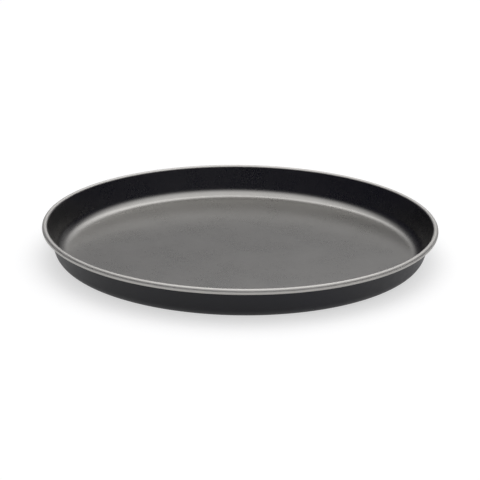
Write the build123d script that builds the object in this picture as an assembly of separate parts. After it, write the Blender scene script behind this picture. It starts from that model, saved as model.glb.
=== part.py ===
from build123d import *
import os
from math import asin, cos, degrees, radians, sin

# Pizza pan: a pressed sheet-steel shell whose rim is rolled round a steel wire ring.
# Lengths are in millimetres and angles in degrees.
# The origin is the centre of the underside, on which the pan stands, and +Z points up.

# Pressed shell
rim_diameter = 300.0      # across the outside of the rolled rim
pan_height = 25.0         # from the underside to the top of the rim
sheet = 0.6               # thickness of the coated steel
wall_lean = 18.5          # how far the wall leans outwards from upright
corner_radius = 9.0       # inside, where the floor turns up into the wall
curl_gap = 0.2            # between the free edge of the curl and the wall

# Wire ring inside the rolled rim
wire_diameter = 2.8
wire_clearance = 0.1      # all round, between the wire and the inside of the curl
wire_end_gap = 1.0        # between the two butted ends of the wire

# The curl fits the wire, and the wire lies at the middle of the curl
curl_inside = wire_diameter / 2 + wire_clearance
curl_outside = curl_inside + sheet
curl_centre = Vector(rim_diameter / 2 - curl_outside, pan_height - curl_outside)


def shell_outline():
    """Half section of the sheet, as radius and height, from the axis out to the curl and back."""
    lean = radians(wall_lean)
    across_wall = Vector(cos(lean), -sin(lean))
    outer_corner = corner_radius + sheet

    # The wall runs straight into the curl, and the corner is tangent to both wall and floor
    wall_top_outside = curl_centre - across_wall * curl_inside
    wall_reach = wall_top_outside.dot(across_wall)
    floor_radius = (wall_reach - outer_corner * (1 - sin(lean))) / cos(lean)
    corner_centre = (floor_radius, outer_corner)

    # The curl goes over the top and round under itself, until its free edge nears the wall
    curl_start = 180 - wall_lean
    curl_turn = 270 + degrees(asin((curl_inside - curl_gap) / curl_outside))

    with BuildLine() as outline:
        underside = Line((0, 0), (floor_radius, 0))
        corner_outside = CenterArc(corner_centre, outer_corner, -90, 90 - wall_lean)
        curl_hollow = CenterArc(curl_centre, curl_inside, curl_start, -curl_turn)
        Line(corner_outside @ 1, curl_hollow @ 0)
        curl_back = CenterArc(curl_centre, curl_outside, curl_start, -curl_turn)
        Line(curl_hollow @ 1, curl_back @ 1)
        corner_inside = CenterArc(corner_centre, corner_radius, -90, 90 - wall_lean)
        Line(curl_back @ 0, corner_inside @ 1)
        floor_top = Line((floor_radius, sheet), (0, sheet))
        Line(floor_top @ 1, underside @ 0)
    return outline.line


def pan_shell():
    """Floor, wall and rolled rim, pressed and curled from one round blank."""
    section = Plane.XZ * make_face(shell_outline())
    return revolve(section, Axis.Z)


def rim_wire():
    """Round wire bent to a ring, with its butted ends at the back of the pan."""
    ring_radius = curl_centre.X
    gap_angle = degrees(wire_end_gap / ring_radius)
    section = Plane.XZ * Pos(curl_centre) * Circle(wire_diameter / 2)
    ring = revolve(section, Axis.Z, 360 - gap_angle)
    return Rot(0, 0, 90 + gap_angle / 2) * ring


os.makedirs("parts", exist_ok=True)
for name, make in (("pan_shell", pan_shell), ("rim_wire", rim_wire)):
    export_step(make(), f"parts/{name}.step")
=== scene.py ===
"""Pizza pan: a coated steel shell with its rim rolled round a wire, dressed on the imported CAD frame."""

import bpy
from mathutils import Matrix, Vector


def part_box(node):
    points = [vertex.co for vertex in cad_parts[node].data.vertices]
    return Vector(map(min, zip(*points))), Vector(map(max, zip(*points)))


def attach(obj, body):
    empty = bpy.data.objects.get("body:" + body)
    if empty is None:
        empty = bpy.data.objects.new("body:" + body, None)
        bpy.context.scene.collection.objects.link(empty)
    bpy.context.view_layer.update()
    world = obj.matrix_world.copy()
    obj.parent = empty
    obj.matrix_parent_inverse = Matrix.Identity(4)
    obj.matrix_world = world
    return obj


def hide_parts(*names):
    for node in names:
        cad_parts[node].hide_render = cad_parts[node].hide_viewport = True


bl_info = {
    "name": "Pizza Pan",
    "version": (1, 0, 0),
    "blender": (4, 5, 0),
    "location": "3D View > Sidebar > Pizza Pan",
    "description": "Makes a coated steel pizza pan with a rolled rim, and the studio it stands in",
    "category": "Add Mesh",
}

from math import asin, cos, pi, radians, sin

import bpy
import numpy as np
from bpy.props import FloatProperty, FloatVectorProperty, IntProperty, PointerProperty
from bpy.types import Operator, Panel, PropertyGroup
from mathutils import Matrix, Vector

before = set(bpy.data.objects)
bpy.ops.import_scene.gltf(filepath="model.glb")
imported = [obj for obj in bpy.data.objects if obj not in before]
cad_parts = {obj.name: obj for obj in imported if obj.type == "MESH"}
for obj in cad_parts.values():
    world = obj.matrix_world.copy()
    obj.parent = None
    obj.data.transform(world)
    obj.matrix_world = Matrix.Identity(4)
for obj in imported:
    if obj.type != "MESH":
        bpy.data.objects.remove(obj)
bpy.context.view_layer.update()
shell_low, shell_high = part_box("pan_shell")

# Each round light's name in the studio's settings and its angles in degrees: the middle's tilt to
# the back and lean to the right, and how far from the middle the light starts to fade and is gone
LIGHTS = (
    ("overhead", 7, 4, 25, 61.5),
    ("behind", 40, 4, 24, 31),
    ("low", 90, 27, 14, 26),
)


class PanSizes(PropertyGroup):
    """Sizes of the pressed shell"""

    rim_diameter: FloatProperty(
        name="Rim diameter",
        description="Across the outside of the rolled rim",
        default=round(shell_high.x - shell_low.x, 4),
        unit="LENGTH",
    )
    height: FloatProperty(
        name="Height",
        description="From the underside to the top of the rim",
        default=round(shell_high.z - shell_low.z, 4),
        unit="LENGTH",
    )
    sheet: FloatProperty(
        name="Sheet",
        description="Thickness of the coated steel",
        default=0.0006,
        precision=5,
        unit="LENGTH",
    )
    rim_thickness: FloatProperty(
        name="Rim thickness",
        description="Across the round section of the rolled rim",
        default=0.0042,
        precision=5,
        unit="LENGTH",
    )
    wall_lean: FloatProperty(
        name="Wall lean",
        description="How far the wall leans outwards from upright",
        default=radians(18.5),
        unit="ROTATION",
        subtype="ANGLE",
    )
    corner_inside: FloatProperty(
        name="Corner inside",
        description="Radius inside, where the floor turns up into the wall",
        default=0.0104,
        precision=4,
        unit="LENGTH",
    )
    corner_outside: FloatProperty(
        name="Corner outside",
        description="Radius underneath, where the floor turns up into the wall",
        default=0.0096,
        precision=4,
        unit="LENGTH",
    )
    curl_gap: FloatProperty(
        name="Curl gap",
        description="Between the free edge of the curl and the wall",
        default=0.0002,
        precision=5,
        unit="LENGTH",
    )
    segments: IntProperty(
        name="Segments",
        description="Faces round the pan",
        default=480,
        min=48,
    )


class PanFinish(PropertyGroup):
    """Colours and shine of the coatings and the wire"""

    inside: FloatVectorProperty(
        name="Inside",
        description="Colour of the metallic grey non-stick coating",
        default=(0.304, 0.297, 0.285),
        min=0,
        max=1,
        subtype="COLOR",
    )
    inside_roughness: FloatProperty(
        name="Inside roughness",
        description="Middle roughness of the non-stick coating",
        default=0.28,
        min=0,
        max=1,
        subtype="FACTOR",
    )
    rim_roughness: FloatProperty(
        name="Rim roughness",
        description="Roughness of the non-stick coating over the rolled rim",
        default=0.56,
        min=0,
        max=1,
        subtype="FACTOR",
    )
    # Painted highlight: the coating over the rolled rim is made lighter in colour to stand in for the
    # rim's brighter highlight
    rim_painted_highlight: FloatProperty(
        name="Rim painted highlight",
        description="How much lighter the coating is over the rolled rim, as a share of its colour",
        default=0.62,
        min=0,
        max=1,
        subtype="FACTOR",
    )
    outside: FloatVectorProperty(
        name="Outside",
        description="Colour of the black lacquer on the wall and the underside",
        default=(0.0092, 0.0091, 0.013),
        min=0,
        max=1,
        subtype="COLOR",
    )
    outside_roughness: FloatProperty(
        name="Outside roughness",
        description="Middle roughness of the black lacquer",
        default=0.5,
        min=0,
        max=1,
        subtype="FACTOR",
    )
    wire: FloatVectorProperty(
        name="Wire",
        description="Colour of the bare steel wire",
        default=(0.45, 0.45, 0.46),
        min=0,
        max=1,
        subtype="COLOR",
    )


class PanStudio(PropertyGroup):
    """Floor, lights, room and camera"""

    floor_width: FloatProperty(
        name="Floor width",
        description="Length of each side of the square floor",
        default=6.0,
        unit="LENGTH",
    )
    floor: FloatVectorProperty(
        name="Floor",
        description="Colour of the floor",
        default=(0.45, 0.45, 0.45),
        min=0,
        max=1,
        subtype="COLOR",
    )
    floor_glow: FloatProperty(
        name="Floor glow",
        description="What the floor adds, to the eye and in reflections, to show white",
        default=0.61,
        min=0,
        max=1,
    )
    room: FloatVectorProperty(
        name="Room",
        description="Colour of the dark room outside the lights",
        default=(0.008, 0.008, 0.019),
        min=0,
        max=1,
        subtype="COLOR",
    )
    overhead: FloatProperty(
        name="Overhead",
        description="Brightness of the broad round light overhead",
        default=1.48,
        min=0,
    )
    behind: FloatProperty(
        name="Behind",
        description="Brightness that the round light high at the back adds",
        default=0.85,
        min=0,
    )
    low: FloatProperty(
        name="Low",
        description="Brightness of the dim round light low at the back",
        default=0.25,
        min=0,
    )
    camera_target: FloatVectorProperty(
        name="Camera target",
        description="The place that the camera looks at",
        default=(-0.00006, 0, 0.00961),
        precision=5,
        unit="LENGTH",
        subtype="TRANSLATION",
    )
    camera_distance: FloatProperty(
        name="Camera distance",
        description="From the camera to its target",
        default=1.4122,
        unit="LENGTH",
    )
    camera_elevation: FloatProperty(
        name="Camera elevation",
        description="How far the camera looks down",
        default=radians(18.98),
        unit="ROTATION",
        subtype="ANGLE",
    )
    camera_roll: FloatProperty(
        name="Camera roll",
        description="How far the camera leans to its left",
        default=radians(0.71),
        unit="ROTATION",
        subtype="ANGLE",
    )
    camera_lens: FloatProperty(
        name="Camera lens",
        description="Focal length in millimetres on a 36 mm sensor",
        default=138.886,
        unit="CAMERA",
    )


def arc(centre, radius, start, end, steps):
    """Points on a circle, centre + radius * (cos t, sin t), with t from start to end in even steps."""
    t = np.linspace(start, end, steps + 1)
    return np.column_stack((centre[0] + radius * np.cos(t), centre[1] + radius * np.sin(t)))


def run(start, end, shares):
    """Points on a straight run, start + share * (end - start), for each share of the way."""
    shares = np.asarray(shares)[:, None]
    return np.asarray(start) + shares * (np.asarray(end) - np.asarray(start))


def corner_centre(reach, level, radius, lean):
    """Middle of the circle that touches both a level line and the line of the leaning wall.

    The wall's line is the points p with p . (cos lean, -sin lean) = reach.
    """
    height = level + radius
    return (reach - radius + height * sin(lean)) / cos(lean), height


def shell_profile(sizes):
    """Half section of the shell, closed through the axis, and how much of it is the inside face.

    Its rows of radius and height go outwards along the top of the floor, up the inside of the wall
    and over the curl to its free edge, then back inside the curl, down the outside of the wall and
    inwards underneath. Each corner and each face of the curl is a circle that is tangent to the
    straight runs beside it. The inside face of the sheet ends at the free edge.
    """
    lean = sizes.wall_lean
    across_wall = np.array((cos(lean), -sin(lean)))
    curl_outside = sizes.rim_thickness / 2
    curl_inside = curl_outside - sizes.sheet
    curl_centre = np.array((sizes.rim_diameter / 2 - curl_outside, sizes.height - curl_outside))
    reach = curl_centre @ across_wall
    turn_inside = corner_centre(reach - curl_outside, sizes.sheet, sizes.corner_inside, lean)
    turn_outside = corner_centre(reach - curl_inside, 0, sizes.corner_outside, lean)
    curl_start = pi - lean
    curl_end = curl_start - 1.5 * pi - asin((curl_inside - sizes.curl_gap) / curl_outside)

    floor_shares = np.append(np.linspace(0, 1, 19)[:-1], (0.985, 0.996, 1))
    wall_shares = (0.04, 0.12, 0.25, 0.4, 0.55, 0.7, 0.82, 0.92, 0.97)
    corner_inside = arc(turn_inside, sizes.corner_inside, -pi / 2, -lean, steps=24)
    curl_back = arc(curl_centre, curl_outside, curl_start, curl_end, steps=56)
    curl_hollow = arc(curl_centre, curl_inside, curl_end, curl_start, steps=28)
    corner_underneath = arc(turn_outside, sizes.corner_outside, -lean, -pi / 2, steps=18)
    edge_middle = (curl_back[-1] + curl_hollow[0]) / 2
    edge = arc(edge_middle, sizes.sheet / 2, curl_end, curl_end - pi, steps=6)[1:-1]
    inside_face = np.concatenate((
        run((0, sizes.sheet), corner_inside[0], floor_shares[:-1]),
        corner_inside,
        run(corner_inside[-1], curl_back[0], wall_shares),
        curl_back,
    ))
    outside_face = np.concatenate((
        edge,
        curl_hollow,
        run(curl_hollow[-1], corner_underneath[0], wall_shares),
        corner_underneath,
        run((0, 0), corner_underneath[-1], floor_shares[:-1])[::-1],
    ))
    return np.concatenate((inside_face, outside_face)), len(inside_face)


def turned(profile, segments):
    """Corners and faces of a surface of revolution about Z.

    A corner is (r cos a, r sin a, z) for each radius r and height z of the profile and each angle a.
    The profile's two ends lie on the axis, so each is one corner, with a fan of triangles round it.
    """
    angle = np.arange(segments) * (2 * pi / segments)
    radius, height = profile[1:-1, 0, None], profile[1:-1, 1, None]
    rings = np.stack((
        radius * np.cos(angle),
        radius * np.sin(angle),
        np.broadcast_to(height, (len(height), segments)),
    ), axis=-1)
    corners = np.concatenate((
        rings.reshape(-1, 3),
        [(0, 0, profile[0, 1]), (0, 0, profile[-1, 1])],
    ))

    here = np.arange(len(rings) * segments).reshape(len(rings), segments)
    beside = np.roll(here, -1, axis=1)
    bands = np.stack((here[:-1], here[1:], beside[1:], beside[:-1]), axis=-1).reshape(-1, 4)
    top = np.full(segments, len(corners) - 2)
    bottom = top + 1
    fans = np.concatenate((
        np.column_stack((top, here[0], beside[0])),
        np.column_stack((here[-1], bottom, beside[-1])),
    ))
    return corners, bands, fans


def coats(bands, fans, inside_rows, segments):
    """Material number of each face: 0 on the inside face of the sheet, 1 on its outside face."""
    coat = np.ones(len(bands) + len(fans), np.int32)
    coat[:(inside_rows - 1) * segments] = 0
    coat[len(bands):len(bands) + segments] = 0
    return coat


def mesh_of(name, corners, bands, fans, coat):
    """A smooth mesh from corner places, four-sided bands, three-sided fans and material numbers."""
    mesh = bpy.data.meshes.new(name)
    loops = np.concatenate((bands.ravel(), fans.ravel()))
    counts = np.concatenate((np.full(len(bands), 4), np.full(len(fans), 3)))
    mesh.vertices.add(len(corners))
    mesh.vertices.foreach_set("co", corners.ravel().astype(np.float32))
    mesh.loops.add(len(loops))
    mesh.loops.foreach_set("vertex_index", loops.astype(np.int32))
    mesh.polygons.add(len(counts))
    mesh.polygons.foreach_set("loop_start", np.cumsum(counts) - counts)
    mesh.update(calc_edges=True)
    mesh.polygons.foreach_set("use_smooth", np.ones(len(counts), bool))
    mesh.polygons.foreach_set("material_index", coat)
    mesh.validate()
    return mesh


def new_material(name):
    """A new material, its node tree and its Principled shader."""
    material = bpy.data.materials.new(name)
    material.use_nodes = True
    tree = material.node_tree
    return material, tree, tree.nodes["Principled BSDF"]


def add_node(tree, kind, inputs=None, **settings):
    """A new node, with its settings and its unlinked inputs. An input that is a socket is linked."""
    node = tree.nodes.new(kind)
    for name, value in settings.items():
        setattr(node, name, value)
    for name, value in (inputs or {}).items():
        if isinstance(value, bpy.types.NodeSocket):
            tree.links.new(value, node.inputs[name])
        else:
            node.inputs[name].default_value = value
    return node


def maths(tree, operation, first, second):
    """The result of one sum on two numbers, each a value or a socket."""
    return add_node(tree, "ShaderNodeMath", {0: first, 1: second}, operation=operation).outputs[0]


def noise(tree, place, feature_size, detail=2.0, roughness=0.5):
    """Noise from 0 to 1 whose lumps are about feature_size metres across."""
    node = add_node(
        tree,
        "ShaderNodeTexNoise",
        {"Vector": place, "Scale": 1 / feature_size, "Detail": detail, "Roughness": roughness},
    )
    return node.outputs["Fac"]


def mapped(tree, value, low, high, from_low=0.3, from_high=0.7):
    """The value, carried from from_low..from_high to low..high and held there."""
    inputs = {
        "Value": value,
        "From Min": from_low,
        "From Max": from_high,
        "To Min": low,
        "To Max": high,
    }
    return add_node(tree, "ShaderNodeMapRange", inputs).outputs["Result"]


def between(tree, share, colour, darkest, lightest):
    """The colour, made darker or lighter by a share from 0 to 1."""
    shade = add_node(tree, "ShaderNodeMix", data_type="RGBA")
    # A mix node has one set of sockets per kind of data, so its colours are picked by place
    tree.links.new(share, shade.inputs[0])
    shade.inputs[6].default_value = (*(darkest * channel for channel in colour), 1)
    shade.inputs[7].default_value = (*(lightest * channel for channel in colour), 1)
    return shade.outputs[2]


def bumped(tree, shader, height, depth):
    """Raises the surface by up to depth metres where the height is 1."""
    bump = add_node(tree, "ShaderNodeBump", {"Strength": 1.0, "Distance": depth, "Height": height})
    tree.links.new(bump.outputs["Normal"], shader.inputs["Normal"])


def nonstick_coating(finish, rim_inside):
    """Metallic grey non-stick coating: satin, with a fine orange peel and faint clouds.

    Over the rolled rim, from the radius rim_inside outwards, it is rougher, and its colour is lighter as
    a painted highlight.
    """
    material, tree, shader = new_material("nonstick_coating")
    place = add_node(tree, "ShaderNodeTexCoord").outputs["Object"]
    clouds = noise(tree, place, 0.035, detail=3)
    mottle = noise(tree, place, 0.005, detail=3, roughness=0.6)
    peel = noise(tree, place, 0.0012, detail=2, roughness=0.6)

    level = add_node(tree, "ShaderNodeVectorMath", {0: place, 1: (1, 1, 0)}, operation="MULTIPLY")
    radius = add_node(tree, "ShaderNodeVectorMath", {0: level.outputs[0]}, operation="LENGTH")
    rim_start = rim_inside + 0.001
    on_rim = mapped(tree, radius.outputs["Value"], 0, 1, rim_inside, rim_start)
    darkest = 0.96
    lightest = 1.04
    # Painted highlight: over the rim the colour is raised by this share, standing in for the rim's
    # brighter highlight
    rim_painted_highlight = 1 + finish.rim_painted_highlight
    patchy = mapped(tree, maths(tree, "ADD", clouds, mottle), 0, 1, 0.7, 1.3)
    patches = maths(tree, "MULTIPLY", patchy, (lightest - darkest) / (rim_painted_highlight - darkest))
    share = maths(tree, "ADD", patches, on_rim)
    shade = between(tree, share, finish.inside, darkest, rim_painted_highlight)
    tree.links.new(shade, shader.inputs["Base Color"])
    unevenness = 0.012
    low = finish.inside_roughness - unevenness
    high = finish.inside_roughness + unevenness
    inside = mapped(tree, maths(tree, "ADD", clouds, peel), low, high, 0.7, 1.3)
    rim = maths(tree, "MULTIPLY", on_rim, finish.rim_roughness - finish.inside_roughness)
    tree.links.new(maths(tree, "ADD", inside, rim), shader.inputs["Roughness"])
    bumped(tree, shader, peel, depth=0.0000015)
    shader.inputs["Metallic"].default_value = 1.0
    return material


def outside_lacquer(finish):
    """Black baked lacquer: satin, uneven where the sheet was pressed, with a fine orange peel."""
    material, tree, shader = new_material("outside_lacquer")
    place = add_node(tree, "ShaderNodeTexCoord").outputs["Object"]
    clouds = noise(tree, place, 0.05, detail=2)
    mottle = noise(tree, place, 0.004, detail=3, roughness=0.6)
    peel = noise(tree, place, 0.0012, detail=2, roughness=0.6)

    shade = between(tree, mapped(tree, clouds, 0, 1), finish.outside, 0.6, 1.6)
    tree.links.new(shade, shader.inputs["Base Color"])
    unevenness = 0.03
    low = finish.outside_roughness - unevenness
    high = finish.outside_roughness + unevenness
    gloss = mapped(tree, maths(tree, "ADD", clouds, mottle), low, high, 0.7, 1.3)
    tree.links.new(gloss, shader.inputs["Roughness"])
    bumped(tree, shader, peel, depth=0.000003)
    shader.inputs["IOR"].default_value = 1.4
    return material


def drawn_wire(finish):
    """Drawn steel wire: bare metal with fine scuffs."""
    material, tree, shader = new_material("drawn_wire")
    place = add_node(tree, "ShaderNodeTexCoord").outputs["Object"]
    clouds = noise(tree, place, 0.006)
    scuffs = noise(tree, place, 0.0006, detail=3)

    shade = between(tree, mapped(tree, clouds, 0, 1), finish.wire, 0.75, 1.1)
    tree.links.new(shade, shader.inputs["Base Color"])
    tree.links.new(mapped(tree, scuffs, 0.25, 0.45), shader.inputs["Roughness"])
    bumped(tree, shader, scuffs, depth=0.00001)
    shader.inputs["Metallic"].default_value = 1.0
    return material


def floor_material(studio):
    """Matt pale floor. To the eye and in reflections it glows a little, and it keeps its shadow."""
    material, tree, shader = new_material("studio_floor")
    place = add_node(tree, "ShaderNodeTexCoord").outputs["Object"]
    grain = noise(tree, place, 0.002)
    tree.links.new(mapped(tree, grain, 0.85, 0.95), shader.inputs["Roughness"])
    shader.inputs["Base Color"].default_value = (*studio.floor, 1)
    shader.inputs["Specular IOR Level"].default_value = 0.0
    path = add_node(tree, "ShaderNodeLightPath")
    mirrored = maths(tree, "MAXIMUM", path.outputs["Is Glossy Ray"], path.outputs["Is Transmission Ray"])
    seen = maths(tree, "MAXIMUM", path.outputs["Is Camera Ray"], mirrored)
    glow = maths(tree, "MULTIPLY", seen, studio.floor_glow)
    shader.inputs["Emission Color"].default_value = (1, 1, 1, 1)
    tree.links.new(glow, shader.inputs["Emission Strength"])
    return material


def round_light(tree, tilt, lean, full, end, strength):
    """A round light in the sky: at full strength up to an angle from its middle, and gone at end."""
    direction = add_node(tree, "ShaderNodeTexCoord").outputs["Generated"]
    middle = Vector((sin(radians(lean)), sin(radians(tilt)), cos(radians(tilt)))).normalized()
    toward = add_node(
        tree,
        "ShaderNodeVectorMath",
        {0: direction, 1: middle},
        operation="DOT_PRODUCT",
    )
    fade = {
        "Value": toward.outputs["Value"],
        "From Min": cos(radians(end)),
        "From Max": cos(radians(full)),
        "To Max": strength,
    }
    return add_node(tree, "ShaderNodeMapRange", fade, interpolation_type="SMOOTHSTEP").outputs[0]


def studio_world(studio):
    """A dark room with soft round lights overhead and at the back, and a pale ground."""
    world = bpy.data.worlds.new("studio_world")
    world.use_nodes = True
    tree = world.node_tree
    tree.nodes.clear()
    direction = add_node(tree, "ShaderNodeTexCoord").outputs["Generated"]
    upward = add_node(tree, "ShaderNodeSeparateXYZ", {0: direction}).outputs["Z"]
    lights = [round_light(tree, *angles, getattr(studio, name)) for name, *angles in LIGHTS]
    sky = lights[0]
    for light in lights[1:]:
        sky = maths(tree, "ADD", sky, light)
    ground = maths(tree, "LESS_THAN", upward, 0)
    strength = maths(tree, "MAXIMUM", sky, ground)
    white = add_node(
        tree,
        "ShaderNodeBackground",
        {"Color": (1, 1, 1, 1), "Strength": strength},
    )
    dark = add_node(tree, "ShaderNodeBackground", {"Color": (*studio.room, 1), "Strength": 1.0})
    both = add_node(tree, "ShaderNodeAddShader", {0: white.outputs[0], 1: dark.outputs[0]})
    output = add_node(tree, "ShaderNodeOutputWorld")
    tree.links.new(both.outputs[0], output.inputs["Surface"])
    return world


def aim_camera(studio):
    """The camera looks along +Y and down at its target, from the photograph's side."""
    data = bpy.data.cameras.new("camera")
    data.sensor_width = 36.0
    data.lens = studio.camera_lens
    camera = bpy.data.objects.new("camera", data)
    bpy.context.scene.collection.objects.link(camera)
    bpy.context.scene.camera = camera
    target = Matrix.Translation(studio.camera_target)
    tilt = Matrix.Rotation(pi / 2 - studio.camera_elevation, 4, "X")
    back = Matrix.Translation((0, 0, studio.camera_distance))
    roll = Matrix.Rotation(studio.camera_roll, 4, "Z")
    camera.matrix_world = target @ tilt @ back @ roll


class MakeShell(Operator):
    """Make the pressed shell with its rolled rim, in its coating"""

    bl_idname = "pizza_pan.make_shell"
    bl_label = "Make Shell"

    def execute(self, context):
        scene = context.scene
        sizes = scene.pan_sizes
        profile, inside_rows = shell_profile(sizes)
        corners, bands, fans = turned(profile, sizes.segments)
        coat = coats(bands, fans, inside_rows, sizes.segments)
        mesh = mesh_of("pan_shell_coated", corners, bands, fans, coat)
        rim_inside = sizes.rim_diameter / 2 - sizes.rim_thickness
        mesh.materials.append(nonstick_coating(scene.pan_finish, rim_inside))
        mesh.materials.append(outside_lacquer(scene.pan_finish))
        shell = bpy.data.objects.new("pan_shell_coated", mesh)
        scene.collection.objects.link(shell)
        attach(shell, "root")
        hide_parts("pan_shell")
        return {"FINISHED"}


class FinishWire(Operator):
    """Give the wire inside the rolled rim its bare steel"""

    bl_idname = "pizza_pan.finish_wire"
    bl_label = "Finish Wire"

    def execute(self, context):
        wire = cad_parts["rim_wire"]
        wire.data.materials.clear()
        wire.data.materials.append(drawn_wire(context.scene.pan_finish))
        return {"FINISHED"}


class SetStudio(Operator):
    """Set the floor, the lights, the room and the camera"""

    bl_idname = "pizza_pan.set_studio"
    bl_label = "Set Studio"

    def execute(self, context):
        scene = context.scene
        studio = scene.pan_studio
        half = studio.floor_width / 2
        # A tenth of a millimetre below the pan, so that no two faces share a plane
        level = -0.0001
        corners = [(x, y, level) for x, y in ((-half, -half), (half, -half), (half, half), (-half, half))]
        mesh = bpy.data.meshes.new("floor")
        mesh.from_pydata(corners, [], [(0, 1, 2, 3)])
        mesh.materials.append(floor_material(studio))
        floor = bpy.data.objects.new("floor", mesh)
        scene.collection.objects.link(floor)
        scene.world = studio_world(studio)
        aim_camera(studio)
        scene.view_settings.view_transform = "Standard"
        return {"FINISHED"}


class PanPanel(Panel):
    """Sizes, finishes and studio of the pizza pan"""

    bl_idname = "VIEW3D_PT_pizza_pan"
    bl_label = "Pizza Pan"
    bl_space_type = "VIEW_3D"
    bl_region_type = "UI"
    bl_category = "Pizza Pan"

    def draw(self, context):
        scene = context.scene
        steps = (
            (scene.pan_sizes, MakeShell),
            (scene.pan_finish, FinishWire),
            (scene.pan_studio, SetStudio),
        )
        for group, operator in steps:
            column = self.layout.column()
            for name in group.bl_rna.properties.keys():
                if name not in ("rna_type", "name"):
                    column.prop(group, name)
            column.operator(operator.bl_idname)


classes = (PanSizes, PanFinish, PanStudio, MakeShell, FinishWire, SetStudio, PanPanel)


def register():
    for cls in classes:
        bpy.utils.register_class(cls)
    bpy.types.Scene.pan_sizes = PointerProperty(type=PanSizes)
    bpy.types.Scene.pan_finish = PointerProperty(type=PanFinish)
    bpy.types.Scene.pan_studio = PointerProperty(type=PanStudio)


def unregister():
    del bpy.types.Scene.pan_studio
    del bpy.types.Scene.pan_finish
    del bpy.types.Scene.pan_sizes
    for cls in reversed(classes):
        bpy.utils.unregister_class(cls)


def main():
    """Makes the pan and its studio."""
    register()
    bpy.ops.pizza_pan.make_shell()
    bpy.ops.pizza_pan.finish_wire()
    bpy.ops.pizza_pan.set_studio()


if __name__ == "__main__":
    main()
